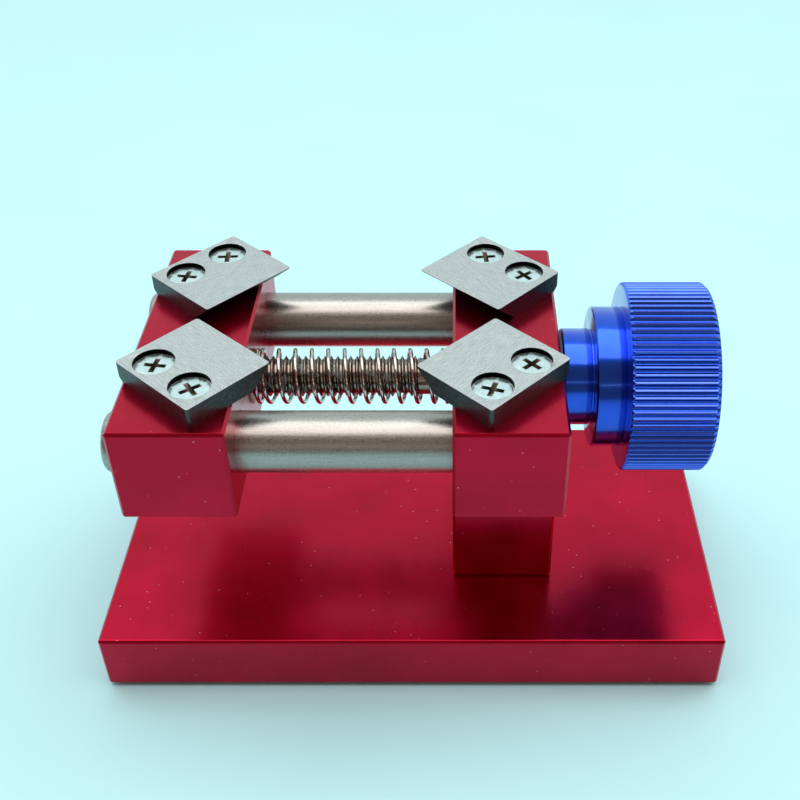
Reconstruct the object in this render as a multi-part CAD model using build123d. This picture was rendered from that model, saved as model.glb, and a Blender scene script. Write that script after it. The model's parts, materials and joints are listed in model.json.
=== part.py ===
from build123d import *
import math
import os

# Screw-driven bezel vice for watchmakers. Millimetres, +Z up.
# Origin: centre of the footprint, on the surface that the tool stands on.
# The lead screw and both guide rods lie along X. The left jaw slides, the right jaw is fixed.
# Pose as modelled: jaws fully open, return spring at its free length.

# ---- base and riser ----
PAD_THICK = 0.8
PAD_INSET = 2.0
PAD_CORNER_R = 4.0
BASE_LENGTH = 122.0
BASE_WIDTH = 64.2
BASE_THICK = 12.9
RISER_DEPTH = 30.0
RISER_HEIGHT = 31.4
EDGE_CHAMFER = 0.5
CUT_SPARE = 1.0  # how far a cutter runs past the face it opens

# ---- jaws ----
JAW_LENGTH = 60.2
JAW_HEIGHT = 19.5
FIXED_JAW_LEFT = 8.0
FIXED_JAW_WIDTH = 20.0
SLIDING_JAW_WIDTH = 20.5
OPEN_GAP = 38.2

# ---- guide rods and lead screw ----
AXIS_Z = 54.0
ROD_R = 5.6
ROD_OFFSET_Y = 19.4
ROD_PROUD = 3.4
ROD_END_ROUND = 1.2
ROD_POCKET = 14.0
RUNNING_GAP = 0.05
SEATED_GAP = 0.01
SCREW_THREAD_R = 3.94
SCREW_SHANK_R = 3.5
SCREW_END_INSET = 1.2
SHANK_START_GAP = 6.2
SCREW_TIP_CHAMFER = 0.8

# ---- return spring ----
SPRING_OUTER_R = 5.45
SPRING_WIRE_R = 0.4
SPRING_PITCH = 3.19

# ---- knob ----
WASHER_THICK = 0.6
WASHER_R = 8.9
END_FLOAT = 0.05
NECK_R = 9.35
NECK_CHAMFER = 0.3
FLANGE_R = 13.55
FLANGE_CHAMFER = 0.3
KNOB_R = 18.2
FLANGE_LEFT = 34.4
HEAD_LEFT = 40.2
HEAD_RIGHT = 56.2
HEAD_LEFT_CHAMFER = 0.4
HEAD_RIGHT_CHAMFER = 0.8
RELIEF_WIDTH = 0.4
RELIEF_DEPTH = 0.2
KNOB_BORE_END = 51.0
KNURL_COUNT = 81
KNURL_DEPTH = 0.55
KNURL_CREST_SHARE = 0.3
KNURL_ROOT_SHARE = 0.2
GRUB_FROM_FLANGE_FACE = 2.8
GRUB_R = 2.0
GRUB_LENGTH = 8.0
GRUB_HEX = 2.0
GRUB_HEX_DEPTH = 2.5

# ---- jaw blades and their screws ----
BLADE_LONG = 20.5
BLADE_SHORT = 18.1
BLADE_THICK = 4.0
BLADE_CORNER_R = 0.6
KNIFE_BEVEL = 4.6
KNIFE_LAND = 0.12
HEEL_CLIP = 0.8
BLADE_HOLE_SPACING = 10.15
BLADE_HOLE_FROM_EDGE = 4.6
BLADE_HOLE_R = 2.25
COUNTERBORE_R = 3.75
COUNTERBORE_DEPTH = 1.05
BLADE_SHIFT = 2.75
BLADE_OFFSET_Y = 15.0
HEAD_R = 3.45
HEAD_RIM = 0.25
HEAD_RECESS = 0.8
M4_R = 2.0
BLADE_SCREW_LENGTH = 6.0
TAP_SPARE = 0.8
CROSS_LENGTH = 4.1
CROSS_WIDTH = 0.95
CROSS_DEPTH = 1.7
CROSS_BOTTOM = 1.3

# ---- structural screws ----
ROD_SCREW_LENGTH = 14.0
ROD_SCREW_HEX = 2.5
ROD_SCREW_HEX_DEPTH = 1.7
RISER_SCREW_OFFSET_Y = 9.0
RISER_SCREW_LENGTH = 50.0
M5_R = 2.5
M5_HEAD_R = 4.25
M5_HEAD_HEIGHT = 5.0
M5_COUNTERBORE_R = 4.8
M5_COUNTERBORE_DEPTH = 5.6
M5_CLEARANCE_R = 2.75
M5_HEX = 4.0
M5_HEX_DEPTH = 2.5

# ---- positions worked out from the driving dimensions ----
BASE_TOP = PAD_THICK + BASE_THICK
JAW_BOTTOM = BASE_TOP + RISER_HEIGHT
JAW_TOP = JAW_BOTTOM + JAW_HEIGHT
FIXED_JAW_RIGHT = FIXED_JAW_LEFT + FIXED_JAW_WIDTH
SLIDING_JAW_RIGHT = FIXED_JAW_LEFT - OPEN_GAP
SLIDING_JAW_LEFT = SLIDING_JAW_RIGHT - SLIDING_JAW_WIDTH
FIXED_JAW_MID = FIXED_JAW_LEFT + FIXED_JAW_WIDTH / 2
SLIDING_JAW_MID = SLIDING_JAW_RIGHT - SLIDING_JAW_WIDTH / 2
ROD_LEFT = SLIDING_JAW_LEFT - ROD_PROUD
ROD_RIGHT = FIXED_JAW_LEFT + ROD_POCKET
SCREW_LEFT = SLIDING_JAW_LEFT + SCREW_END_INSET
SHANK_LEFT = FIXED_JAW_LEFT - SHANK_START_GAP
NECK_LEFT = FIXED_JAW_RIGHT + WASHER_THICK + END_FLOAT
BLADE_TOP = JAW_TOP + BLADE_THICK
GRUB_X = FLANGE_LEFT + GRUB_FROM_FLANGE_FACE
RISER_HEAD_SEAT = PAD_THICK + M5_COUNTERBORE_DEPTH
RISER_SCREW_TIP = RISER_HEAD_SEAT + RISER_SCREW_LENGTH
SIDES = {"front": -1, "back": 1}

# Each blade: jaw it sits on, centre X, side in Y, direction its knife edge faces (degrees from +X),
# and how far it was twisted on its screws when it was tightened.
BLADES = {
    "front_left": ("sliding", SLIDING_JAW_MID + BLADE_SHIFT, -1, 45.0, 3.0),
    "back_left": ("sliding", SLIDING_JAW_MID + BLADE_SHIFT, 1, -45.0, 2.3),
    "back_right": ("fixed", FIXED_JAW_MID - BLADE_SHIFT, 1, -135.0, 2.0),
    "front_right": ("fixed", FIXED_JAW_MID - BLADE_SHIFT, -1, 135.0, 0.7),
}

# Where each blade screw's cross recess stopped, in degrees from +X: first and second hole.
CROSS_TURNS = {
    "front_left": (-8.0, 35.0),
    "back_left": (3.0, -9.0),
    "back_right": (38.0, 6.0),
    "front_right": (-18.0, 44.0),
}


def block(x0, x1, y0, y1, z0, z1):
    """A plain box between two corners."""
    size = (x1 - x0, y1 - y0, z1 - z0)
    return Pos((x0 + x1) / 2, (y0 + y1) / 2, (z0 + z1) / 2) * Box(*size)


def rod_along_x(x0, x1, radius, y=0.0):
    """A cylinder along X, at the height of the lead screw."""
    middle = Pos((x0 + x1) / 2, y, AXIS_Z)
    return middle * Rot(0, 90, 0) * Cylinder(radius, x1 - x0)


def rod_along_z(x, y, z0, z1, radius):
    """An upright cylinder."""
    return Pos(x, y, (z0 + z1) / 2) * Cylinder(radius, z1 - z0)


def turned(profile):
    """Spins a closed profile of (x, radius) points about the screw axis."""
    face = Plane.XZ * make_face(Polyline(*profile, close=True))
    return Pos(0, 0, AXIS_Z) * revolve(face, Axis.X)


def broken_edges(shape, size=EDGE_CHAMFER):
    """Chamfers every edge of a sawn block, before its holes are drilled."""
    return chamfer(shape.edges(), size)


def blade_place(name):
    """Local frame of a blade: X along its long side, Y towards its knife edge, Z = 0 on its underside."""
    _, centre_x, side, facing, skew = BLADES[name]
    turn = facing + skew - 90.0
    return Pos(centre_x, side * BLADE_OFFSET_Y, JAW_TOP) * Rot(0, 0, turn)


def blade_hole_points(name):
    """World positions of a blade's two holes, left hole in its local frame first."""
    hole_y = -BLADE_SHORT / 2 + BLADE_HOLE_FROM_EDGE
    points = []
    for local_x in (-BLADE_HOLE_SPACING / 2, BLADE_HOLE_SPACING / 2):
        placed = blade_place(name) * Pos(local_x, hole_y, 0)
        points.append(placed.position)
    return points


def drilled_for_blades(jaw, jaw_name):
    """Taps the M4 holes that hold the blades on one jaw."""
    tap_bottom = BLADE_TOP - HEAD_RECESS - BLADE_SCREW_LENGTH - TAP_SPARE
    for name, (owner, _, _, _, _) in BLADES.items():
        if owner != jaw_name:
            continue
        for point in blade_hole_points(name):
            jaw -= rod_along_z(point.X, point.Y, tap_bottom, JAW_TOP + CUT_SPARE, M4_R)
    return jaw


def make_pad():
    """Thin rubber sheet glued under the base."""
    outline = RectangleRounded(BASE_LENGTH - 2 * PAD_INSET, BASE_WIDTH - 2 * PAD_INSET, PAD_CORNER_R)
    return extrude(outline, PAD_THICK)


def make_base():
    """Base plate, counterbored from below for the two riser screws."""
    half_l = BASE_LENGTH / 2
    half_w = BASE_WIDTH / 2
    plate = broken_edges(block(-half_l, half_l, -half_w, half_w, PAD_THICK, BASE_TOP))
    for side in SIDES.values():
        y = side * RISER_SCREW_OFFSET_Y
        plate -= rod_along_z(FIXED_JAW_MID, y, PAD_THICK - CUT_SPARE, BASE_TOP + CUT_SPARE, M5_CLEARANCE_R)
        plate -= rod_along_z(FIXED_JAW_MID, y, PAD_THICK - CUT_SPARE, RISER_HEAD_SEAT, M5_COUNTERBORE_R)
    return plate


def make_riser():
    """Block that carries the fixed jaw above the base."""
    half = RISER_DEPTH / 2
    post = broken_edges(block(FIXED_JAW_LEFT, FIXED_JAW_RIGHT, -half, half, BASE_TOP, JAW_BOTTOM))
    ends = (BASE_TOP - CUT_SPARE, JAW_BOTTOM + CUT_SPARE)
    for side in SIDES.values():
        post -= rod_along_z(FIXED_JAW_MID, side * RISER_SCREW_OFFSET_Y, *ends, M5_CLEARANCE_R)
    return post


def make_fixed_jaw():
    """Right jaw: rod pockets, screw bore, tapped holes for the riser and blade screws."""
    half = JAW_LENGTH / 2
    jaw = broken_edges(block(FIXED_JAW_LEFT, FIXED_JAW_RIGHT, -half, half, JAW_BOTTOM, JAW_TOP))
    left = FIXED_JAW_LEFT - CUT_SPARE
    right = FIXED_JAW_RIGHT + CUT_SPARE
    jaw -= rod_along_x(left, right, SCREW_SHANK_R + RUNNING_GAP)
    for side in SIDES.values():
        rod_y = side * ROD_OFFSET_Y
        jaw -= rod_along_x(left, ROD_RIGHT, ROD_R + SEATED_GAP, rod_y)
        jaw -= rod_along_x(ROD_RIGHT - CUT_SPARE, right, M4_R + RUNNING_GAP, rod_y)
        jaw -= Pos(0, rod_y, 0) * countersunk_head(FIXED_JAW_RIGHT, SEATED_GAP)
        riser_y = side * RISER_SCREW_OFFSET_Y
        tap = (JAW_BOTTOM - CUT_SPARE, RISER_SCREW_TIP + TAP_SPARE)
        jaw -= rod_along_z(FIXED_JAW_MID, riser_y, *tap, M5_R)
    return drilled_for_blades(jaw, "fixed")


def make_sliding_jaw():
    """Left jaw: runs on both rods and is threaded on the lead screw."""
    half = JAW_LENGTH / 2
    jaw = broken_edges(block(SLIDING_JAW_LEFT, SLIDING_JAW_RIGHT, -half, half, JAW_BOTTOM, JAW_TOP))
    through = (SLIDING_JAW_LEFT - CUT_SPARE, SLIDING_JAW_RIGHT + CUT_SPARE)
    jaw -= rod_along_x(*through, SCREW_THREAD_R + RUNNING_GAP)
    for side in SIDES.values():
        jaw -= rod_along_x(*through, ROD_R + RUNNING_GAP, side * ROD_OFFSET_Y)
    return drilled_for_blades(jaw, "sliding")


def make_guide_rod(side):
    """Ground steel rod with a rounded free end and a tapped hole in its seated end."""
    rod = rod_along_x(ROD_LEFT, ROD_RIGHT, ROD_R, side * ROD_OFFSET_Y)
    free_end = rod.edges().sort_by(Axis.X)[0]
    rod = fillet(free_end, ROD_END_ROUND)
    tap_end = FIXED_JAW_RIGHT - ROD_SCREW_LENGTH - TAP_SPARE
    return rod - rod_along_x(tap_end, ROD_RIGHT + CUT_SPARE, M4_R, side * ROD_OFFSET_Y)


def countersunk_head(face_x, spare=0.0):
    """Countersunk M4 head lying along X, its top flush with face_x. spare makes the seat it sits in."""
    cone = HEAD_R - M4_R
    return turned(
        [
            (face_x + spare, 0),
            (face_x + spare, HEAD_R + spare),
            (face_x - HEAD_RIM, HEAD_R + spare),
            (face_x - HEAD_RIM - cone, M4_R + spare),
            (face_x - HEAD_RIM - cone, 0),
        ]
    )


def hex_socket(across, depth):
    """Cutter for a hexagonal socket: it stands on Z = 0, and runs past the depth to open the face."""
    return extrude(RegularPolygon(across / 2, 6, major_radius=False), depth + CUT_SPARE)


def make_rod_screw(side):
    """Countersunk screw that pulls a guide rod into its pocket."""
    tip = FIXED_JAW_RIGHT - ROD_SCREW_LENGTH
    neck = FIXED_JAW_RIGHT - HEAD_RIM
    screw = countersunk_head(FIXED_JAW_RIGHT) + rod_along_x(tip, neck, M4_R - SEATED_GAP)
    socket_floor = Pos(FIXED_JAW_RIGHT - ROD_SCREW_HEX_DEPTH, 0, AXIS_Z) * Rot(0, 90, 0)
    socket = socket_floor * hex_socket(ROD_SCREW_HEX, ROD_SCREW_HEX_DEPTH)
    return Pos(0, side * ROD_OFFSET_Y, 0) * (screw - socket)


def make_lead_screw():
    """M8 lead screw: threaded length in the sliding jaw, plain shank through the fixed jaw and knob."""
    return turned(
        [
            (SCREW_LEFT, 0),
            (SCREW_LEFT, SCREW_THREAD_R - SCREW_TIP_CHAMFER),
            (SCREW_LEFT + SCREW_TIP_CHAMFER, SCREW_THREAD_R),
            (SHANK_LEFT, SCREW_THREAD_R),
            (SHANK_LEFT, SCREW_SHANK_R),
            (KNOB_BORE_END - SCREW_TIP_CHAMFER, SCREW_SHANK_R),
            (KNOB_BORE_END - SCREW_TIP_CHAMFER, 0),
        ]
    )


def make_spring():
    """Round-wire compression spring between the two jaws."""
    coil_r = SPRING_OUTER_R - SPRING_WIRE_R
    start_x = SLIDING_JAW_RIGHT + SPRING_WIRE_R + RUNNING_GAP
    length = OPEN_GAP - 2 * (SPRING_WIRE_R + RUNNING_GAP)
    path = Helix(SPRING_PITCH, length, coil_r)
    start = path @ 0
    wire = Plane(origin=start, z_dir=path % 0) * Circle(SPRING_WIRE_R)
    coil = sweep(wire, path=path, is_frenet=True)
    return Pos(start_x, 0, AXIS_Z) * Rot(0, 90, 0) * coil


def knurled_outline():
    """Closed outline of the straight knurl, one crest and one groove per tooth."""
    step = 2 * math.pi / KNURL_COUNT
    half_crest = step * KNURL_CREST_SHARE / 2
    half_root = step * (1 - KNURL_CREST_SHARE) * KNURL_ROOT_SHARE / 2
    points = []
    for tooth in range(KNURL_COUNT):
        crest = tooth * step
        groove = crest + step / 2
        for angle, radius in (
            (crest - half_crest, KNOB_R),
            (crest + half_crest, KNOB_R),
            (groove - half_root, KNOB_R - KNURL_DEPTH),
            (groove + half_root, KNOB_R - KNURL_DEPTH),
        ):
            points.append((radius * math.cos(angle), radius * math.sin(angle)))
    return make_face(Polyline(*points, close=True))


def make_knob():
    """Turned knob: neck, flange and knurled head in one piece, bored for the lead screw's shank."""
    neck_end = FLANGE_LEFT - RELIEF_WIDTH
    flange_end = HEAD_LEFT - RELIEF_WIDTH
    core = turned(
        [
            (NECK_LEFT, 0),
            (NECK_LEFT, NECK_R - NECK_CHAMFER),
            (NECK_LEFT + NECK_CHAMFER, NECK_R),
            (neck_end, NECK_R),
            (neck_end, NECK_R - RELIEF_DEPTH),
            (FLANGE_LEFT, NECK_R - RELIEF_DEPTH),
            (FLANGE_LEFT, FLANGE_R - FLANGE_CHAMFER),
            (FLANGE_LEFT + FLANGE_CHAMFER, FLANGE_R),
            (flange_end, FLANGE_R),
            (flange_end, FLANGE_R - RELIEF_DEPTH),
            (HEAD_LEFT + CUT_SPARE, FLANGE_R - RELIEF_DEPTH),
            (HEAD_LEFT + CUT_SPARE, 0),
        ]
    )
    envelope = turned(
        [
            (HEAD_LEFT, 0),
            (HEAD_LEFT, KNOB_R - HEAD_LEFT_CHAMFER),
            (HEAD_LEFT + HEAD_LEFT_CHAMFER, KNOB_R),
            (HEAD_RIGHT - HEAD_RIGHT_CHAMFER, KNOB_R),
            (HEAD_RIGHT, KNOB_R - HEAD_RIGHT_CHAMFER),
            (HEAD_RIGHT, 0),
        ]
    )
    bar = Pos(HEAD_LEFT, 0, AXIS_Z) * Rot(0, 90, 0) * extrude(knurled_outline(), HEAD_RIGHT - HEAD_LEFT)
    knob = core + (bar & envelope)
    knob -= rod_along_x(NECK_LEFT - CUT_SPARE, KNOB_BORE_END, SCREW_SHANK_R + SEATED_GAP)
    return knob - grub_cylinder(0, FLANGE_R + CUT_SPARE, GRUB_R + SEATED_GAP)


def grub_cylinder(inner, outer, radius):
    """Radial cylinder in the flange, pointing to the back of the tool."""
    return Pos(GRUB_X, (inner + outer) / 2, AXIS_Z) * Rot(90, 0, 0) * Cylinder(radius, outer - inner)


def make_grub_screw():
    """Set screw that locks the knob on the lead screw's shank."""
    inner = SCREW_SHANK_R + SEATED_GAP
    outer = inner + GRUB_LENGTH
    mouth = Pos(GRUB_X, outer + CUT_SPARE, AXIS_Z) * Rot(90, 0, 0)
    socket = mouth * hex_socket(GRUB_HEX, GRUB_HEX_DEPTH)
    return grub_cylinder(inner, outer, GRUB_R) - socket


def make_washer():
    """Thrust washer between the knob's neck and the fixed jaw."""
    disc = rod_along_x(FIXED_JAW_RIGHT, FIXED_JAW_RIGHT + WASHER_THICK, WASHER_R)
    bore = (FIXED_JAW_RIGHT - CUT_SPARE, NECK_LEFT + CUT_SPARE)
    return disc - rod_along_x(*bore, SCREW_SHANK_R + RUNNING_GAP)


def make_riser_screw(side):
    """Socket cap screw up through the base and riser into the fixed jaw."""
    y = side * RISER_SCREW_OFFSET_Y
    head_bottom = RISER_HEAD_SEAT - M5_HEAD_HEIGHT
    screw = rod_along_z(FIXED_JAW_MID, y, head_bottom, RISER_HEAD_SEAT, M5_HEAD_R)
    screw += rod_along_z(FIXED_JAW_MID, y, RISER_HEAD_SEAT - CUT_SPARE, RISER_SCREW_TIP, M5_R - SEATED_GAP)
    socket = Pos(FIXED_JAW_MID, y, head_bottom - CUT_SPARE) * hex_socket(M5_HEX, M5_HEX_DEPTH)
    return screw - socket


def make_blade(name):
    """Hardened blade: one long edge bevelled from below to a knife edge, two recessed screw holes."""
    plate = extrude(RectangleRounded(BLADE_LONG, BLADE_SHORT, BLADE_CORNER_R), BLADE_THICK)
    edge_y = BLADE_SHORT / 2
    bevel = make_face(
        Polyline(
            (edge_y - KNIFE_BEVEL, 0),
            (edge_y + CUT_SPARE, 0),
            (edge_y + CUT_SPARE, BLADE_THICK - KNIFE_LAND),
            (edge_y, BLADE_THICK - KNIFE_LAND),
            close=True,
        )
    )
    plate -= Pos(-BLADE_LONG, 0, 0) * extrude(Plane.YZ * bevel, 2 * BLADE_LONG)
    heel_x = -BLADE_LONG / 2 if name in ("front_left", "back_right") else BLADE_LONG / 2
    heel = Plane(origin=(heel_x, -BLADE_SHORT / 2, 0), z_dir=(math.copysign(1, heel_x), -1, -1))
    plate = split(plate, bisect_by=heel.offset(-HEEL_CLIP), keep=Keep.BOTTOM)
    hole_y = -BLADE_SHORT / 2 + BLADE_HOLE_FROM_EDGE
    cone_top = BLADE_THICK - COUNTERBORE_DEPTH
    seat_r = HEAD_R + 2 * SEATED_GAP
    cone_height = seat_r - BLADE_HOLE_R
    for x in (-BLADE_HOLE_SPACING / 2, BLADE_HOLE_SPACING / 2):
        plate -= rod_along_z(x, hole_y, -CUT_SPARE, BLADE_THICK, BLADE_HOLE_R)
        plate -= rod_along_z(x, hole_y, cone_top, BLADE_THICK + CUT_SPARE, COUNTERBORE_R)
        cone = Cone(BLADE_HOLE_R, seat_r, cone_height)
        plate -= Pos(x, hole_y, cone_top - cone_height / 2) * cone
    return blade_place(name) * plate


def cross_arm():
    """Cutter for one arm of a cross recess: a slot whose ends slope in towards the bottom."""
    half = CROSS_LENGTH / 2
    trapezium = make_face(
        Polyline(
            (-half, SEATED_GAP),
            (half, SEATED_GAP),
            (CROSS_BOTTOM / 2, -CROSS_DEPTH),
            (-CROSS_BOTTOM / 2, -CROSS_DEPTH),
            close=True,
        )
    )
    return extrude(Plane.XZ * trapezium, CROSS_WIDTH / 2, both=True)


def make_blade_screw(point, cross_turn):
    """Countersunk cross-recess screw that holds a blade."""
    top = BLADE_TOP - HEAD_RECESS
    cone_height = HEAD_R - M4_R
    screw = rod_along_z(0, 0, top - HEAD_RIM, top, HEAD_R)
    screw += Pos(0, 0, top - HEAD_RIM - cone_height / 2) * Cone(M4_R, HEAD_R, cone_height)
    screw += rod_along_z(0, 0, top - BLADE_SCREW_LENGTH, top - HEAD_RIM, M4_R - SEATED_GAP)
    for turn in (cross_turn, cross_turn + 90):
        screw -= Pos(0, 0, top) * Rot(0, 0, turn) * cross_arm()
    return Pos(point.X, point.Y, 0) * screw


def build_parts():
    """Every piece of the tool by name."""
    parts = {
        "anti_slip_pad": make_pad(),
        "base_plate": make_base(),
        "riser_block": make_riser(),
        "fixed_jaw": make_fixed_jaw(),
        "sliding_jaw": make_sliding_jaw(),
        "lead_screw": make_lead_screw(),
        "return_spring": make_spring(),
        "thumb_knob": make_knob(),
        "knob_grub_screw": make_grub_screw(),
        "thrust_washer": make_washer(),
    }
    for side_name, side in SIDES.items():
        parts[f"guide_rod_{side_name}"] = make_guide_rod(side)
        parts[f"rod_screw_{side_name}"] = make_rod_screw(side)
        parts[f"riser_screw_{side_name}"] = make_riser_screw(side)
    for name in BLADES:
        parts[f"blade_{name}"] = make_blade(name)
        holes = zip(blade_hole_points(name), CROSS_TURNS[name])
        for number, (point, turn) in enumerate(holes, start=1):
            parts[f"blade_screw_{name}_{number}"] = make_blade_screw(point, turn)
    return parts


os.makedirs("parts", exist_ok=True)
for part_name, shape in build_parts().items():
    export_step(shape, f"parts/{part_name}.step")
    print(part_name, round(shape.volume, 1))
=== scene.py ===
# %% [markdown]
# # A screw-driven bezel vice for watchmakers
# Two aluminium jaws carry four hardened knife-edge blades. The left jaw slides on two ground rods, and a
# lead screw with a knurled knob pulls it in. The CAD model already holds every size and joint, so this
# script only gives the pieces their finish, and remakes three of them as finer meshes: the lead screw, which
# has no thread in CAD, the spring and the knurled knob.

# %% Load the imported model
import json
import math

import bmesh
import bpy
from mathutils import Matrix, Vector


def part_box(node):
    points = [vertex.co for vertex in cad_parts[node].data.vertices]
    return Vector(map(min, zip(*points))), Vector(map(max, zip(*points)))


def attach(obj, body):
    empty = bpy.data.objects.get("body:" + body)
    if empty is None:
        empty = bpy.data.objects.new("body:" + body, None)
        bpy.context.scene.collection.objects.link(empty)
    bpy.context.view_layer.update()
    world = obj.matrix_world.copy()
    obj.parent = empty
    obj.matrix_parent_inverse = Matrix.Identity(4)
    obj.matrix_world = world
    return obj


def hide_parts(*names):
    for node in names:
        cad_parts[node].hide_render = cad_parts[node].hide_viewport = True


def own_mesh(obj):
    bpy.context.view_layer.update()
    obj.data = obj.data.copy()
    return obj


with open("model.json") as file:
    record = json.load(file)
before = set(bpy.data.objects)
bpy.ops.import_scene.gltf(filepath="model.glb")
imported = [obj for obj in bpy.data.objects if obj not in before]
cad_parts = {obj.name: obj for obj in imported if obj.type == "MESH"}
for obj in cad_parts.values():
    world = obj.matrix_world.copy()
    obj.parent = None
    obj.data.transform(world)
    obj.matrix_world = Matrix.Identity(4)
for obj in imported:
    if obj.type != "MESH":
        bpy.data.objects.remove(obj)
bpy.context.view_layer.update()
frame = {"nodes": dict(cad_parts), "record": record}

MM = 0.001
nodes = frame["nodes"]

# %% The screw's axis
screw_low, screw_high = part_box("lead_screw")
axis = (screw_low + screw_high) / 2
axis.x = 0
knob_low, knob_high = (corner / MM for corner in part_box("thumb_knob"))
knob_r = knob_high.z - axis.z / MM
print(f"screw axis {axis.z / MM:.1f} mm above the bench, knob radius {knob_r:.2f} mm")

# %% [markdown]
# ## Colours and nodes
# Steel, dye and rubber are picked as sRGB hex values, but a shader needs linear light, so one
# function converts them. Another adds any node, sets it and fills its inputs, each with a plain value or
# with the node that feeds it, so a material below reads from its texture to its shader.


# %% Helpers for every material
def linear(hex_colour):
    """An sRGB hex colour as linear red, green, blue and alpha."""
    channels = [int(hex_colour[i : i + 2], 16) / 255 for i in (1, 3, 5)]
    toned = [c / 12.92 if c <= 0.04045 else ((c + 0.055) / 1.055) ** 2.4 for c in channels]
    return (*toned, 1.0)


def fill(tree, node, inputs):
    """Sets each input, found by name or number, to a value, or links it to a node or an output."""
    for name, value in inputs.items():
        if isinstance(name, str):
            socket = next(s for s in node.inputs if s.enabled and s.name == name)
        else:
            socket = node.inputs[name]
        if isinstance(value, bpy.types.Node):
            value = next(s for s in value.outputs if s.enabled)
        if isinstance(value, bpy.types.NodeSocket):
            tree.links.new(value, socket)
        else:
            socket.default_value = value


def add_node(tree, kind, inputs, **settings):
    """Adds a node, with its settings and then its inputs."""
    node = tree.nodes.new(kind)
    for name, value in settings.items():
        setattr(node, name, value)
    fill(tree, node, inputs)
    return node


def start_material(name):
    """A new material, its node tree, and the surface's place in millimetres."""
    material = bpy.data.materials.new(name)
    material.use_nodes = True
    tree = material.node_tree
    place = add_node(tree, "ShaderNodeTexCoord", {})
    in_mm = add_node(
        tree, "ShaderNodeVectorMath", {0: place.outputs["Object"], "Scale": 1 / MM}, operation="SCALE"
    )
    return material, tree, in_mm


# %% [markdown]
# ## Red anodised aluminium
# The base, riser and jaws are sawn from bar, milled flat, bead blasted and dyed red while they are anodised.
# The dye sits in a clear oxide skin over bright metal. Red paint would look much the same from every side,
# so this is a metal with a red reflection: its tops glow under the light and its fronts go nearly maroon. A
# coat stands for the clear oxide, and gives the pale sheen of a side seen edge-on. Blasting leaves a grain
# of about 0.1 mm, drawn three times coarser so that it shows. A little white dust lies on it.

# %% Red anodised aluminium
BLAST_GRAIN_MM = 0.35
HANDLING_MARK_MM = 14.0
DUST_SPACING_MM = 2.6
DUST_SPECK_MM = 0.16


def red_anodised():
    material, tree, place = start_material("red_anodised_aluminium")
    grain = add_node(tree, "ShaderNodeTexNoise", {"Vector": place, "Scale": 1 / BLAST_GRAIN_MM})
    handled = {"Vector": place, "Scale": 1 / HANDLING_MARK_MM, "Detail": 4.0}
    marks = add_node(tree, "ShaderNodeTexNoise", handled)
    colours = {"Factor": marks, "A": linear("#9C0420"), "B": linear("#CE0838")}
    dye = add_node(tree, "ShaderNodeMix", colours, data_type="RGBA")
    cells = add_node(tree, "ShaderNodeTexVoronoi", {"Vector": place, "Scale": 1 / DUST_SPACING_MM})
    speck = DUST_SPECK_MM / DUST_SPACING_MM
    edges = {"Value": cells.outputs["Distance"], "From Min": speck, "From Max": speck / 2, "To Max": 0.6}
    dust = add_node(tree, "ShaderNodeMapRange", edges)
    dusty = add_node(
        tree, "ShaderNodeMix", {"Factor": dust, "A": dye, "B": linear("#F0B4BC")}, data_type="RGBA"
    )
    rough = add_node(tree, "ShaderNodeMapRange", {"Value": marks, "To Min": 0.2, "To Max": 0.36})
    blasted = add_node(tree, "ShaderNodeBump", {"Height": grain, "Distance": 0.006 * MM})
    finish = {
        "Base Color": dusty,
        "Roughness": rough,
        "Normal": blasted,
        "Metallic": 1.0,
        "Coat Weight": 0.15,
        "Coat Roughness": 0.16,
        "Coat IOR": 1.6,
    }
    fill(tree, tree.nodes["Principled BSDF"], finish)
    return material


# %% [markdown]
# ## Blue anodised aluminium
# The knob is turned, so its skin is far smoother than the blasted blocks: it mirrors the light as a crisp
# band and its flat faces mirror the bench. Turning leaves very fine rings about the axis. They are rings in
# X, so a noise that is stretched across Y and Z draws them without any unwrapping. A paler violet blue is
# painted on the knurl's crests, from just under the knob's full radius, as a painted highlight on the teeth.

# %% Blue anodised aluminium
TURNING_RING_MM = 0.12
RING_STRETCH = 0.02
CLOUD_MM = 6.0
SHEEN_BELOW_CREST_MM = 0.22


def blue_anodised():
    material, tree, place = start_material("blue_anodised_aluminium")
    across = {0: place, 1: (1, RING_STRETCH, RING_STRETCH)}
    squeezed = add_node(tree, "ShaderNodeVectorMath", across, operation="MULTIPLY")
    rings = add_node(tree, "ShaderNodeTexNoise", {"Vector": squeezed, "Scale": 1 / TURNING_RING_MM})
    clouds = add_node(tree, "ShaderNodeTexNoise", {"Vector": place, "Scale": 1 / CLOUD_MM, "Detail": 3.0})
    colours = {"Factor": clouds, "A": linear("#083CBC"), "B": linear("#0E56DC")}
    dye = add_node(tree, "ShaderNodeMix", colours, data_type="RGBA")
    flattened = add_node(tree, "ShaderNodeVectorMath", {0: place, 1: (0, 1, 1)}, operation="MULTIPLY")
    from_axis = add_node(
        tree, "ShaderNodeVectorMath", {0: flattened, 1: tuple(axis / MM)}, operation="DISTANCE"
    )
    # A paler violet blue, from just under the full radius out to it, is a painted highlight on the knurl's
    # crests.
    crest = {"Value": from_axis, "From Min": knob_r - SHEEN_BELOW_CREST_MM, "From Max": knob_r, "To Max": 0.5}
    painted_crest_highlight = add_node(tree, "ShaderNodeMapRange", crest)
    highlighted_dye = add_node(
        tree, "ShaderNodeMix", {"Factor": painted_crest_highlight, "A": dye, "B": linear("#7C8CF0")}, data_type="RGBA"
    )
    rough = add_node(tree, "ShaderNodeMapRange", {"Value": rings, "To Min": 0.12, "To Max": 0.26})
    turned = add_node(tree, "ShaderNodeBump", {"Height": rings, "Distance": 0.0006 * MM})
    finish = {
        "Base Color": highlighted_dye,
        "Roughness": rough,
        "Normal": turned,
        "Metallic": 1.0,
        "Coat Weight": 0.5,
        "Coat Roughness": 0.08,
        "Coat IOR": 1.6,
    }
    fill(tree, tree.nodes["Principled BSDF"], finish)
    return material


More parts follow.
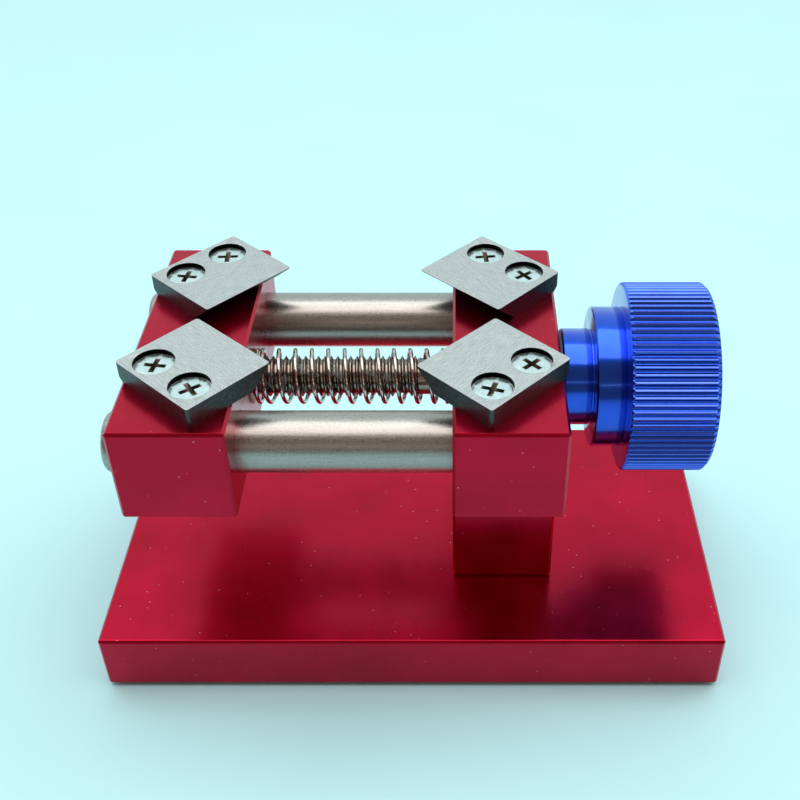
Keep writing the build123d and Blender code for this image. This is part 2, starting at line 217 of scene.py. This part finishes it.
# %% [markdown]
# ## Bare steels
# The steels differ only in how they were finished. The guide rods are ground and then polished lengthwise,
# which leaves faint streaks along them and a fine grain, so their highlight is a soft cream band and not a
# mirror.

# %% Ground guide rods
POLISH_LINE_MM = 0.2
STREAK_STRETCH = 0.02
GRIND_GRAIN_MM = 0.28


def ground_rod():
    material, tree, place = start_material("ground_polished_steel")
    squeezed = add_node(
        tree, "ShaderNodeVectorMath", {0: place, 1: (STREAK_STRETCH, 1, 1)}, operation="MULTIPLY"
    )
    streaks = add_node(
        tree, "ShaderNodeTexNoise", {"Vector": squeezed, "Scale": 1 / POLISH_LINE_MM, "Detail": 3.0}
    )
    fine = {"Vector": place, "Scale": 1 / GRIND_GRAIN_MM, "Detail": 2.0}
    grain = add_node(tree, "ShaderNodeTexNoise", fine)
    bright = {"Factor": streaks, "A": linear("#6C645E"), "B": linear("#B8B0AA")}
    steel = add_node(tree, "ShaderNodeMix", bright, data_type="RGBA")
    speckled = {"Factor": grain, "A": linear("#6A625C"), "B": linear("#E6E0DC")}
    tone = add_node(tree, "ShaderNodeMix", speckled, data_type="RGBA")
    both = {"Factor": 0.4, "A": steel, "B": tone}
    colour = add_node(tree, "ShaderNodeMix", both, data_type="RGBA")
    rough = add_node(tree, "ShaderNodeMapRange", {"Value": grain, "To Min": 0.2, "To Max": 0.42})
    lined = add_node(tree, "ShaderNodeBump", {"Height": streaks, "Distance": 0.003 * MM})
    grained = add_node(tree, "ShaderNodeBump", {"Height": grain, "Distance": 0.004 * MM, "Normal": lined})
    finish = {"Base Color": colour, "Roughness": rough, "Normal": grained, "Metallic": 1.0}
    fill(tree, tree.nodes["Principled BSDF"], finish)
    return material


# %% [markdown]
# ## Surface-ground blades
# A grinding wheel passes over the top of each blade along its knife edge, so the lines have to turn with the
# blade. The same noise is rotated by the blade's own angle and stretched, which is simpler than four sets of
# UVs. The sides are as the cutter left them, dark and rough, and where a face points up the ground steel
# takes over, broken edges included, which draws the thin bright line round each top.

# %% Surface-ground blades
GRIND_LINE_MM = 0.2
LINE_STRETCH = 0.08
CUTTER_MARK_MM = 0.7
HOLE_SHADE_MM = 4.1
HOLE_SHADE_EDGE_MM = 0.1


def ground_blade(corner, edge_degrees):
    """Ground steel whose lines run along a knife edge at that angle from +X."""
    material, tree, place = start_material(f"surface_ground_steel_{corner}")
    aligned = add_node(
        tree,
        "ShaderNodeVectorRotate",
        {"Vector": place, "Angle": -math.radians(edge_degrees)},
        rotation_type="Z_AXIS",
    )
    squeezed = add_node(
        tree, "ShaderNodeVectorMath", {0: aligned, 1: (LINE_STRETCH, 1, 1)}, operation="MULTIPLY"
    )
    lines = add_node(
        tree, "ShaderNodeTexNoise", {"Vector": squeezed, "Scale": 1 / GRIND_LINE_MM, "Detail": 3.0}
    )
    fine = {"Vector": place, "Scale": 1 / GRIND_GRAIN_MM, "Detail": 3.0}
    grain = add_node(tree, "ShaderNodeTexNoise", fine)
    scratched = add_node(tree, "ShaderNodeMath", {0: lines, 1: grain}, operation="ADD")
    sparkle = add_node(tree, "ShaderNodeMapRange", {"Value": scratched, "From Min": 0.7, "From Max": 1.3})
    bright = {"Factor": sparkle, "A": linear("#A19FA1"), "B": linear("#CFCDCD")}
    top_steel = add_node(tree, "ShaderNodeMix", bright, data_type="RGBA")
    coarse = {"Vector": place, "Scale": 1 / CUTTER_MARK_MM, "Detail": 5.0, "Roughness": 0.7}
    cuts = add_node(tree, "ShaderNodeTexNoise", coarse)
    dark = {"Factor": cuts, "A": linear("#101315"), "B": linear("#666D70")}
    side_steel = add_node(tree, "ShaderNodeMix", dark, data_type="RGBA")
    # The counterbore walls are painted near black. This is painted shade in the holes, together with the
    # black scale that stays there because the grinding wheel doesn't reach into them.
    flattened = add_node(tree, "ShaderNodeVectorMath", {0: place, 1: (1, 1, 0)}, operation="MULTIPLY")
    distances = []
    for number in (1, 2):
        low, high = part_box(f"blade_screw_{corner}_{number}")
        middle = (low + high) / 2 / MM
        ends = {0: flattened, 1: (middle.x, middle.y, 0)}
        distances.append(add_node(tree, "ShaderNodeVectorMath", ends, operation="DISTANCE"))
    nearest = add_node(tree, "ShaderNodeMath", {0: distances[0], 1: distances[1]}, operation="MINIMUM")
    soft_edge = HOLE_SHADE_EDGE_MM / 2
    rim = {"Value": nearest, "From Min": HOLE_SHADE_MM + soft_edge, "From Max": HOLE_SHADE_MM - soft_edge}
    painted_hole_shade = add_node(tree, "ShaderNodeMapRange", rim)
    walls = add_node(
        tree, "ShaderNodeMix", {"Factor": painted_hole_shade, "A": side_steel, "B": linear("#0B0C0D")}, data_type="RGBA"
    )
    facing = add_node(tree, "ShaderNodeNewGeometry", {})
    upright = add_node(tree, "ShaderNodeSeparateXYZ", {0: facing.outputs["True Normal"]})
    level = {"Value": upright.outputs["Z"], "From Min": 0.35, "From Max": 0.6}
    ground = add_node(tree, "ShaderNodeMapRange", level)
    colour = add_node(
        tree, "ShaderNodeMix", {"Factor": ground, "A": walls, "B": top_steel}, data_type="RGBA"
    )
    rough = add_node(tree, "ShaderNodeMapRange", {"Value": lines, "To Min": 0.3, "To Max": 0.5})
    scored = add_node(tree, "ShaderNodeBump", {"Height": scratched, "Distance": 0.004 * MM})
    finish = {"Base Color": colour, "Roughness": rough, "Normal": scored, "Metallic": 1.0}
    fill(tree, tree.nodes["Principled BSDF"], finish)
    return material


# %% [markdown]
# ## Lead screw, spring and fasteners
# The lead screw is cut steel with a smear of grease left in its thread, which dulls it in patches. The
# spring is bright drawn wire, and the blade screws are zinc plated, with painted shade in their recesses.
# The set screws are black oxide, a thin dark skin that still reflects like metal.

# %% Oiled lead screw
SMEAR_MM = 2.6


def oiled_thread():
    material, tree, place = start_material("cut_oiled_steel")
    smear = add_node(
        tree, "ShaderNodeTexNoise", {"Vector": place, "Scale": 1 / SMEAR_MM, "Detail": 5.0, "Roughness": 0.6}
    )
    grease = add_node(tree, "ShaderNodeMapRange", {"Value": smear, "From Min": 0.55, "From Max": 0.62})
    colours = {"Factor": grease, "A": linear("#8E8077"), "B": linear("#827F7B")}
    colour = add_node(tree, "ShaderNodeMix", colours, data_type="RGBA")
    rough = add_node(tree, "ShaderNodeMapRange", {"Value": grease, "To Min": 0.22, "To Max": 0.5})
    metal = add_node(tree, "ShaderNodeMapRange", {"Value": grease, "To Min": 1.0, "To Max": 0.35})
    lumps = add_node(tree, "ShaderNodeBump", {"Height": smear, "Distance": 0.05 * MM})
    finish = {"Base Color": colour, "Roughness": rough, "Metallic": metal, "Normal": lumps}
    fill(tree, tree.nodes["Principled BSDF"], finish)
    return material


# %% Drawn wire
DRAW_MARK_MM = 1.2


def drawn_wire():
    material, tree, place = start_material("drawn_spring_wire")
    marks = add_node(tree, "ShaderNodeTexNoise", {"Vector": place, "Scale": 1 / DRAW_MARK_MM, "Detail": 3.0})
    colours = {"Factor": marks, "A": linear("#877E78"), "B": linear("#D8D2CE")}
    colour = add_node(tree, "ShaderNodeMix", colours, data_type="RGBA")
    rough = add_node(tree, "ShaderNodeMapRange", {"Value": marks, "To Min": 0.06, "To Max": 0.22})
    drawn = add_node(tree, "ShaderNodeBump", {"Height": marks, "Distance": 0.004 * MM})
    finish = {"Base Color": colour, "Roughness": rough, "Normal": drawn, "Metallic": 1.0}
    fill(tree, tree.nodes["Principled BSDF"], finish)
    return material


# %% Zinc-plated blade screws
SPANGLE_MM = 1.5
RECESS_RIM_MM = 0.04
RECESS_SHADE_MM = 0.25


def zinc_plate():
    material, tree, place = start_material("clear_zinc_plate")
    spangle = add_node(tree, "ShaderNodeTexNoise", {"Vector": place, "Scale": 1 / SPANGLE_MM, "Detail": 3.0})
    colours = {"Factor": spangle, "A": linear("#B9C6C9"), "B": linear("#E4EDED")}
    plate = add_node(tree, "ShaderNodeMix", colours, data_type="RGBA")
    # Everything from just under the head's top downwards, the cross recess included, is painted darker:
    # painted shade.
    height = add_node(tree, "ShaderNodeSeparateXYZ", {0: place})
    head_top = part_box("blade_screw_front_left_1")[1].z / MM
    depth = {
        "Value": height.outputs["Z"],
        "From Min": head_top - RECESS_RIM_MM,
        "From Max": head_top - RECESS_SHADE_MM,
    }
    painted_recess_shade = add_node(tree, "ShaderNodeMapRange", depth)
    colour = add_node(
        tree, "ShaderNodeMix", {"Factor": painted_recess_shade, "A": plate, "B": linear("#8B8177")}, data_type="RGBA"
    )
    rough = add_node(tree, "ShaderNodeMapRange", {"Value": spangle, "To Min": 0.22, "To Max": 0.4})
    skin = add_node(tree, "ShaderNodeBump", {"Height": spangle, "Distance": 0.01 * MM})
    finish = {"Base Color": colour, "Roughness": rough, "Normal": skin, "Metallic": 1.0}
    fill(tree, tree.nodes["Principled BSDF"], finish)
    return material


# %% Black oxide screws
PATCH_MM = 0.9


def black_oxide():
    material, tree, place = start_material("black_oxide_steel")
    patch = add_node(tree, "ShaderNodeTexNoise", {"Vector": place, "Scale": 1 / PATCH_MM, "Detail": 3.0})
    colours = {"Factor": patch, "A": linear("#1C1E20"), "B": linear("#444648")}
    colour = add_node(tree, "ShaderNodeMix", colours, data_type="RGBA")
    rough = add_node(tree, "ShaderNodeMapRange", {"Value": patch, "To Min": 0.25, "To Max": 0.5})
    skin = add_node(tree, "ShaderNodeBump", {"Height": patch, "Distance": 0.004 * MM})
    finish = {"Base Color": colour, "Roughness": rough, "Normal": skin, "Metallic": 1.0}
    fill(tree, tree.nodes["Principled BSDF"], finish)
    return material


# %% [markdown]
# ## Rubber and nylon
# The sheet under the base is moulded rubber, matt with a fine pebble. The thrust washer between the knob and
# the jaw is black nylon, a little glossier. Neither is a metal, so both keep the plain dielectric shader,
# and one function makes both, because only the pebble and the gloss differ.


# %% Rubber sheet and nylon washer
def pebbled(name, dark, light, pebble_mm, rough, depth_mm):
    """A matt moulded material with a pebbled skin."""
    material, tree, place = start_material(name)
    pebble = add_node(tree, "ShaderNodeTexNoise", {"Vector": place, "Scale": 1 / pebble_mm, "Detail": 3.0})
    colours = {"Factor": pebble, "A": linear(dark), "B": linear(light)}
    colour = add_node(tree, "ShaderNodeMix", colours, data_type="RGBA")
    spread = {"Value": pebble, "To Min": rough - 0.15, "To Max": rough + 0.15}
    gloss = add_node(tree, "ShaderNodeMapRange", spread)
    skin = add_node(tree, "ShaderNodeBump", {"Height": pebble, "Distance": depth_mm * MM})
    fill(tree, tree.nodes["Principled BSDF"], {"Base Color": colour, "Roughness": gloss, "Normal": skin})
    return material


# %% One finish for each slot
finishes = {
    "red_anodised": red_anodised(),
    "blue_anodised": blue_anodised(),
    "guide_rod_steel": ground_rod(),
    "lead_screw_steel": oiled_thread(),
    "spring_wire": drawn_wire(),
    "screw_zinc": zinc_plate(),
    "black_oxide": black_oxide(),
    "washer_nylon": pebbled("black_nylon", "#0C0D0F", "#222326", 0.4, 0.45, 0.004),
    "rubber_pad": pebbled("black_rubber_sheet", "#0A0B0C", "#202122", 0.5, 0.8, 0.02),
}
print("finishes:", sorted(finishes))

# %% [markdown]
# ## Machined pieces from CAD
# Blocks, blades and screws already have their true shape. CAD edges are perfectly sharp, though, and a real
# edge always catches a thin line of light. The blocks and blades get a bevel modifier of about a tenth of a
# millimetre, after their seams are welded, and the blade screws get half that. The rods, the washer, the
# sheet and the black screws keep their CAD edges. Weighted normals keep the large faces flat.

# %% Dress the CAD pieces
EDGE_BREAK_MM = 0.12
FINE_EDGE_MM = 0.05
BLADE_EDGES = {"front_left": -42.0, "back_left": 47.3, "back_right": -43.0, "front_right": 45.7}


def soften(piece, width_mm, segments=2, angle=28):
    """Welds a CAD mesh and rounds its edges a little."""
    weld = piece.modifiers.new("close seams", "WELD")
    weld.merge_threshold = 0.002 * MM
    bevel = piece.modifiers.new("broken edges", "BEVEL")
    bevel.width = width_mm * MM
    bevel.segments = segments
    bevel.limit_method = "ANGLE"
    bevel.angle_limit = math.radians(angle)
    bevel.use_clamp_overlap = True
    bevel.miter_outer = "MITER_ARC"
    normals = piece.modifiers.new("flat faces", "WEIGHTED_NORMAL")
    normals.keep_sharp = False


for entry in frame["record"]["subparts"]:
    name = entry["node"]
    piece = nodes[name]
    if name in ("thumb_knob", "lead_screw", "return_spring"):
        continue
    if entry["material_slot"] == "blade_steel":
        corner = name.removeprefix("blade_")
        piece.material_slots[0].material = ground_blade(corner, BLADE_EDGES[corner])
    else:
        piece.material_slots[0].material = finishes[entry["material_slot"]]
    if entry["material_slot"] in ("red_anodised", "blade_steel"):
        soften(piece, EDGE_BREAK_MM)
    elif entry["material_slot"] == "screw_zinc":
        soften(piece, FINE_EDGE_MM)
print("dressed", sum(bool(piece.modifiers) for piece in nodes.values()), "pieces with broken edges")

# %% [markdown]
# ## Turned shapes
# A lathe makes the knob, so a lathe is the way to model it: a half outline of (x, radius) points is spun
# about the screw's axis. A screw modifier could do it, but the knurl needs a radius that changes with the
# angle as well, and a short loop gives that freely.


# %% A small lathe
def around_axis(x_mm, radius_mm, angle):
    """A point at that distance from the screw's axis. Angle 0 is the back, and a quarter turn is up."""
    across = Vector((0, math.cos(angle), math.sin(angle))) * radius_mm * MM
    return axis + Vector((x_mm * MM, 0, 0)) + across


def eased(outline, radius_mm):
    """Rounds each inner corner of an outline with three points."""
    points = [Vector(p) for p in outline]
    result = [points[0]]
    for before, corner, after in zip(points, points[1:], points[2:]):
        back = (before - corner).normalized() * min(radius_mm, (before - corner).length * 0.45)
        ahead = (after - corner).normalized() * min(radius_mm, (after - corner).length * 0.45)
        result += [corner + back, corner + (back + ahead) * 0.25, corner + ahead]
    return result + [points[-1]]


def lathe(bm, outline, segments, radius_at=None):
    """Spins an outline about the axis. radius_at(radius, angle) may change each point's radius."""
    rings = []
    for x, radius in outline:
        ring = []
        for step in range(segments):
            angle = 2 * math.pi * step / segments
            spun = radius_at(radius, angle) if radius_at else radius
            ring.append(bm.verts.new(around_axis(x, spun, angle)))
        rings.append(ring)
    for first, second in zip(rings, rings[1:]):
        for i in range(segments):
            j = (i + 1) % segments
            bm.faces.new((first[i], first[j], second[j], second[i]))
    return rings


def close_end(bm, ring, x_mm):
    """Closes a ring with a fan to a point on the axis."""
    middle = bm.verts.new(around_axis(x_mm, 0, 0))
    for i, vertex in enumerate(ring):
        bm.faces.new((vertex, ring[(i + 1) % len(ring)], middle))


# %% From mesh to piece
SEAM_MM = 0.001
SHARP_DEGREES = 38


def piece_from(bm, name, node, body, slot):
    """Turns a finished mesh into a piece that stands for a CAD node."""
    bmesh.ops.remove_doubles(bm, verts=bm.verts, dist=SEAM_MM * MM)
    bmesh.ops.recalc_face_normals(bm, faces=bm.faces)
    mesh = bpy.data.meshes.new(name)
    bm.to_mesh(mesh)
    bm.free()
    mesh.shade_smooth()
    mesh.set_sharp_from_angle(angle=math.radians(SHARP_DEGREES))
    piece = bpy.data.objects.new(name, mesh)
    bpy.context.scene.collection.objects.link(piece)
    mesh.materials.append(finishes[slot])
    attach(piece, body)
    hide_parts(node)
    print(f"{name}: {len(mesh.polygons)} faces")
    return piece


# %% [markdown]
# ## Knurled knob
# Neck, flange and head are one turning. The head's straight knurl is pressed or milled in, 81 grooves about
# 0.55 mm deep, and the rims are chamfered after it, so the teeth run out on the chamfers. In the spun mesh a
# groove is just a smaller radius at that angle, and a chamfer wins where it is smaller still. The set
# screw's hole in the flange is the one cut that isn't round about the axis, so a Boolean drills it. The bore
# is left out, because the screw's shank fills it and nothing shows, so each end face closes to its middle.

# %% Knurled knob
KNURL_COUNT = 81
KNURL_DEPTH = 0.55
KNURL_SHAPE = (0.0, 0.15, 0.5, 0.85, 1.0, 1.0, 0.85, 0.5, 0.15)
NECK_R = 9.35
FLANGE_R = 13.55
NECK_LENGTH = 5.75
FLANGE_LENGTH = 5.8
LEFT_RIM_CHAMFER = 0.4
RIGHT_RIM_CHAMFER = 0.8
RELIEF_WIDTH = 0.4
RELIEF_DEPTH = 0.2
END_FACE_R = 3.5
RIM_BREAK = 0.3
HEAD_CORNER_R = 0.12
CORE_CORNER_R = 0.1
CORE_SEGMENTS = 192
HEAD_OVERLAP = 0.6
flange_x = knob_low.x + NECK_LENGTH
head_x = flange_x + FLANGE_LENGTH


def knurled(radius, angle):
    """The radius cut back to the bottom of the groove at that angle."""
    share = (angle / (2 * math.pi) * KNURL_COUNT) % 1
    step = round(share * len(KNURL_SHAPE)) % len(KNURL_SHAPE)
    return min(radius, knob_r - KNURL_DEPTH * KNURL_SHAPE[step])


head_outline = [
    (head_x, FLANGE_R - HEAD_OVERLAP),
    (head_x, knob_r - LEFT_RIM_CHAMFER),
    (head_x + LEFT_RIM_CHAMFER, knob_r),
    (knob_high.x - RIGHT_RIM_CHAMFER, knob_r),
    (knob_high.x, knob_r - RIGHT_RIM_CHAMFER),
    (knob_high.x, END_FACE_R),
]
neck_and_flange = [
    (knob_low.x, END_FACE_R),
    (knob_low.x, NECK_R - RIM_BREAK),
    (knob_low.x + RIM_BREAK, NECK_R),
    (flange_x - RELIEF_WIDTH, NECK_R),
    (flange_x - RELIEF_WIDTH, NECK_R - RELIEF_DEPTH),
    (flange_x, NECK_R - RELIEF_DEPTH),
    (flange_x, FLANGE_R - RIM_BREAK),
    (flange_x + RIM_BREAK, FLANGE_R),
    (head_x - RELIEF_WIDTH, FLANGE_R),
    (head_x - RELIEF_WIDTH, FLANGE_R - RELIEF_DEPTH),
    (head_x + RIM_BREAK, FLANGE_R - RELIEF_DEPTH),
]


# %% Set-screw hole
HOLE_CLEARANCE_MM = 0.04
DRILL_PROUD_MM = 1.0
HOLE_SEGMENTS = 48


def object_from(bm, name):
    """A plain object holding a bmesh, for a short life."""
    bmesh.ops.recalc_face_normals(bm, faces=bm.faces)
    mesh = bpy.data.meshes.new(name)
    bm.to_mesh(mesh)
    bm.free()
    made = bpy.data.objects.new(name, mesh)
    bpy.context.scene.collection.objects.link(made)
    return made


def drill_set_screw_hole(bm):
    """The same body with the set screw's hole drilled in from the back, as a new bmesh."""
    low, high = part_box("knob_grub_screw")
    middle = (low + high) / 2
    radius = (high.z - low.z) / 2 + HOLE_CLEARANCE_MM * MM
    mouth = axis.y + (FLANGE_R + DRILL_PROUD_MM) * MM
    along_y = Matrix.Rotation(math.pi / 2, 4, "X")
    at_hole = Matrix.Translation((middle.x, (low.y + mouth) / 2, middle.z))
    drill = bmesh.new()
    bmesh.ops.create_cone(
        drill,
        cap_ends=True,
        segments=HOLE_SEGMENTS,
        radius1=radius,
        radius2=radius,
        depth=mouth - low.y,
        matrix=at_hole @ along_y,
    )
    blank, bit = object_from(bm, "knob_blank"), object_from(drill, "drill_bit")
    cut = blank.modifiers.new("set screw hole", "BOOLEAN")
    cut.operation = "DIFFERENCE"
    cut.object = bit
    finished = blank.evaluated_get(bpy.context.evaluated_depsgraph_get())
    drilled = bpy.data.meshes.new_from_object(finished)
    result = bmesh.new()
    result.from_mesh(drilled)
    for used in (blank, bit):
        bpy.data.objects.remove(used)
    print("set screw hole:", round(2 * radius / MM, 2), "mm across")
    return result


# %% Turn the knob
def make_knob():
    core = bmesh.new()
    rings = lathe(core, eased(neck_and_flange, CORE_CORNER_R), CORE_SEGMENTS)
    close_end(core, rings[0], knob_low.x)
    close_end(core, rings[-1], head_x + RIM_BREAK)
    bm = drill_set_screw_hole(core)
    head = eased(head_outline, HEAD_CORNER_R)
    rings = lathe(bm, head, KNURL_COUNT * len(KNURL_SHAPE), knurled)
    close_end(bm, rings[-1], knob_high.x)
    close_end(bm, rings[0], head_x)
    piece_from(bm, "knurled_knob", "thumb_knob", "screw_and_knob", "blue_anodised")


make_knob()

# %% [markdown]
# ## Lead screw
# The thread is M8 by 1.25 mm. A texture could fake it, but its crests show against the light between the
# jaws, so it is cut as geometry: one pitch of the 60-degree profile is swept along the helix, each turn
# sharing its edge with the next, and both ends are sliced off flat. The plain shank is a second, spun body.

# %% Lead screw
PITCH_MM = 1.25
THREAD_LENGTH = 51.3
THREAD_DEPTH = 0.68
SHANK_R = 3.5
SHANK_OVERLAP = 0.5
SHANK_CHAMFER = 0.4
SHANK_CORNER_R = 0.1
SHANK_SEGMENTS = 64
thread_r = (screw_high.z - screw_low.z) / 2 / MM
thread_start = screw_low.x / MM
thread_end = thread_start + THREAD_LENGTH
THREAD_PROFILE = ((-1 / 16, 0.0), (1 / 16, 0.0), (3 / 8, 1.0), (5 / 8, 1.0), (15 / 16, 0.0))


def cut_thread(bm, steps=40):
    """Sweeps one pitch of thread along a right-hand helix and slices its ends flat."""
    turns = math.ceil(THREAD_LENGTH / PITCH_MM) + 2
    rows = []
    for step in range(turns * steps + 1):
        angle = 2 * math.pi * step / steps
        lead = thread_start - PITCH_MM + PITCH_MM * step / steps
        row = []
        for share, depth in THREAD_PROFILE:
            radius = thread_r - THREAD_DEPTH * depth
            row.append(bm.verts.new(around_axis(lead + share * PITCH_MM, radius, angle)))
        rows.append(row)
    for first, second in zip(rows, rows[1:]):
        for i in range(len(THREAD_PROFILE) - 1):
            bm.faces.new((first[i], first[i + 1], second[i + 1], second[i]))
    bmesh.ops.remove_doubles(bm, verts=bm.verts, dist=0.002 * MM)
    for x, keep in ((thread_start, 1), (thread_end, -1)):
        everything = bm.verts[:] + bm.edges[:] + bm.faces[:]
        cut = bmesh.ops.bisect_plane(
            bm, geom=everything, plane_co=around_axis(x, 0, 0), plane_no=(-keep, 0, 0), clear_outer=True
        )
        rim = [edge for edge in cut["geom_cut"] if isinstance(edge, bmesh.types.BMEdge)]
        bmesh.ops.edgenet_fill(bm, edges=rim)


def make_lead_screw():
    bm = bmesh.new()
    cut_thread(bm)
    shank_end = screw_high.x / MM
    shank_start = thread_end - SHANK_OVERLAP
    outline = [
        (shank_start, SHANK_R),
        (shank_end - SHANK_CHAMFER, SHANK_R),
        (shank_end, SHANK_R - SHANK_CHAMFER),
    ]
    rings = lathe(bm, eased(outline, SHANK_CORNER_R), SHANK_SEGMENTS)
    close_end(bm, rings[0], shank_start)
    close_end(bm, rings[-1], shank_end)
    piece_from(bm, "threaded_lead_screw", "lead_screw", "screw_and_knob", "lead_screw_steel")


make_lead_screw()

# %% [markdown]
# ## Return spring
# The spring pushes the jaws apart. Each end coil is closed, so that it sits flat against its jaw, and the
# coils between have a steady pitch. It shortens as the jaw closes.

# %% Return spring
ACTIVE_PITCH_MM = 3.177
WIRE_R = 0.4
CLOSED_ADVANCE_MM = 0.85
START_ANGLE = math.radians(52)
COIL_STEPS = 36
WIRE_SIDES = 12
SEAT_GAP_MM = 0.05
jaw_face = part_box("sliding_jaw")[1].x / MM
fixed_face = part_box("fixed_jaw")[0].x / MM
spring_low, spring_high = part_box("return_spring")
coil_r = (spring_high.z - spring_low.z) / 2 / MM - WIRE_R


def spring_path():
    """Points of the wire's centre line as (x, angle), with one closed coil at each end."""
    x = jaw_face + WIRE_R + SEAT_GAP_MM
    last_x = fixed_face - WIRE_R - SEAT_GAP_MM
    active_turns = (last_x - x - 2 * CLOSED_ADVANCE_MM) / ACTIVE_PITCH_MM
    total_steps = round((active_turns + 2) * COIL_STEPS)
    path = []
    for step in range(total_steps + 1):
        path.append((x, START_ANGLE + 2 * math.pi * step / COIL_STEPS))
        closed = step < COIL_STEPS or step >= total_steps - COIL_STEPS
        x += (CLOSED_ADVANCE_MM if closed else ACTIVE_PITCH_MM) / COIL_STEPS
    return path


def make_spring():
    bm = bmesh.new()
    path = spring_path()
    centres = [around_axis(x, coil_r, angle) for x, angle in path]
    rings = []
    for i, (centre, (_, angle)) in enumerate(zip(centres, path)):
        ahead = centres[min(i + 1, len(centres) - 1)] - centres[max(i - 1, 0)]
        outward = Vector((0, math.cos(angle), math.sin(angle)))
        sideways = ahead.cross(outward).normalized()
        ring = []
        for side in range(WIRE_SIDES):
            turn = 2 * math.pi * side / WIRE_SIDES
            offset = (outward * math.cos(turn) + sideways * math.sin(turn)) * WIRE_R * MM
            ring.append(bm.verts.new(centre + offset))
        rings.append(ring)
    for first, second in zip(rings, rings[1:]):
        for i in range(WIRE_SIDES):
            j = (i + 1) % WIRE_SIDES
            bm.faces.new((first[i], first[j], second[j], second[i]))
    bm.faces.new(rings[0])
    bm.faces.new(list(reversed(rings[-1])))
    spring = piece_from(bm, "coiled_spring", "return_spring", "fixed_frame", "spring_wire")
    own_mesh(spring)


make_spring()

# %% [markdown]
# ## Bench
# The tool stands on a plain pale blue sheet of paper, matt, with clouds so faint that it still reads as one
# colour. It reaches far enough for the polished parts to mirror nothing else below them.

# %% Bench
SHEET_SIZE = 6.0
PAPER_CLOUD_MM = 60.0


def make_bench():
    bm = bmesh.new()
    bmesh.ops.create_grid(bm, x_segments=1, y_segments=1, size=SHEET_SIZE / 2)
    mesh = bpy.data.meshes.new("bench_sheet")
    bm.to_mesh(mesh)
    bm.free()
    sheet = bpy.data.objects.new("bench_sheet", mesh)
    bpy.context.scene.collection.objects.link(sheet)
    material, tree, place = start_material("pale_paper")
    cloudy = {"Vector": place, "Scale": 1 / PAPER_CLOUD_MM, "Detail": 4.0}
    fibres = add_node(tree, "ShaderNodeTexNoise", cloudy)
    colours = {"Factor": fibres, "A": linear("#B8E4EB"), "B": linear("#C0EAF1")}
    colour = add_node(tree, "ShaderNodeMix", colours, data_type="RGBA")
    fill(tree, tree.nodes["Principled BSDF"], {"Base Color": colour, "Roughness": 0.85})
    mesh.materials.append(material)


make_bench()


# %% [markdown]
# ## Lights
# Polished rods show exactly what is above them. One large soft light overhead gives each a wide pale band,
# where a small lamp would leave a hard white line. A long weak strip, high in front, adds the thin second
# line that a ceiling lamp leaves lower on the rods and on the knob.

# %% Lights
SOFTBOX_PLACE = (0.1, 0.04, 0.9)
SOFTBOX_AIM = (0.1, 0.03, 0)
SOFTBOX_SIZE = (1.5, 0.85)
SOFTBOX_WATTS = 9.0
STRIP_PLACE = (0, -1.84, 0.83)
STRIP_AIM = (0, 0, 0.05)
STRIP_SIZE = (2.5, 0.06)
STRIP_WATTS = 0.9


def make_light(name, place, target, size, watts, colour):
    data = bpy.data.lights.new(name, "AREA")
    data.shape = "RECTANGLE"
    data.size, data.size_y = size
    data.energy = watts
    data.color = linear(colour)[:3]
    light = bpy.data.objects.new(name, data)
    light.location = place
    light.rotation_euler = (Vector(target) - Vector(place)).to_track_quat("-Z", "Y").to_euler()
    bpy.context.scene.collection.objects.link(light)
    print(f"{name}: {size[0]} by {size[1]} m, {watts} W")


make_light("softbox", SOFTBOX_PLACE, SOFTBOX_AIM, SOFTBOX_SIZE, SOFTBOX_WATTS, "#FFFDFA")
make_light("ceiling_strip", STRIP_PLACE, STRIP_AIM, STRIP_SIZE, STRIP_WATTS, "#FFF2E4")


# %% [markdown]
# ## The room
# Polished metal needs something to mirror on every side. A picture of a room would do, but a smooth change
# from a warm grey in front to a pale blue behind is enough, and it leaves no stray shapes in the steel.

# %% The room
ROOM_FRONT = -0.25
ROOM_BACK = 0.35
ROOM_STRENGTH = 1.25


def make_room():
    world = bpy.data.worlds.new("room")
    bpy.context.scene.world = world
    world.use_nodes = True
    tree = world.node_tree
    place = add_node(tree, "ShaderNodeTexCoord", {})
    split = add_node(tree, "ShaderNodeSeparateXYZ", {0: place.outputs["Generated"]})
    span = {"Value": split.outputs["Y"], "From Min": ROOM_FRONT, "From Max": ROOM_BACK}
    depth = add_node(tree, "ShaderNodeMapRange", span)
    walls = {"Factor": depth, "A": linear("#7E756D"), "B": linear("#D6EEEE")}
    colour = add_node(tree, "ShaderNodeMix", walls, data_type="RGBA")
    fill(tree, tree.nodes["Background"], {"Color": colour, "Strength": ROOM_STRENGTH})
    print("room: strength", ROOM_STRENGTH)


make_room()

# %% [markdown]
# ## Camera
# A person at the bench looks down on the tool from the front, so the camera stands there too, close enough
# for the near edge of the base to look clearly wider than the far one. A small shift frames the tool without
# tilting the camera sideways. The Standard view keeps the dyed colours as strong as the hex values say.

# %% Camera
SENSOR_MM = 36.0
LENS_MM = 49.7
SHIFT = (-0.0693, -0.0218)
NEAR_CLIP = 0.01
CAMERA_MM = (8.5, -170.5, 184.2)
PITCH_DOWN = 37.7


def make_camera():
    data = bpy.data.cameras.new("camera")
    data.sensor_width = SENSOR_MM
    data.lens = LENS_MM
    data.shift_x, data.shift_y = SHIFT
    data.clip_start = NEAR_CLIP
    camera = bpy.data.objects.new("camera", data)
    camera.location = Vector(CAMERA_MM) * MM
    camera.rotation_euler = (math.radians(90 - PITCH_DOWN), 0, 0)
    bpy.context.scene.collection.objects.link(camera)
    bpy.context.scene.camera = camera
    print(f"camera: {LENS_MM} mm lens, {PITCH_DOWN} degrees down")


make_camera()
bpy.context.scene.view_settings.view_transform = "Standard"
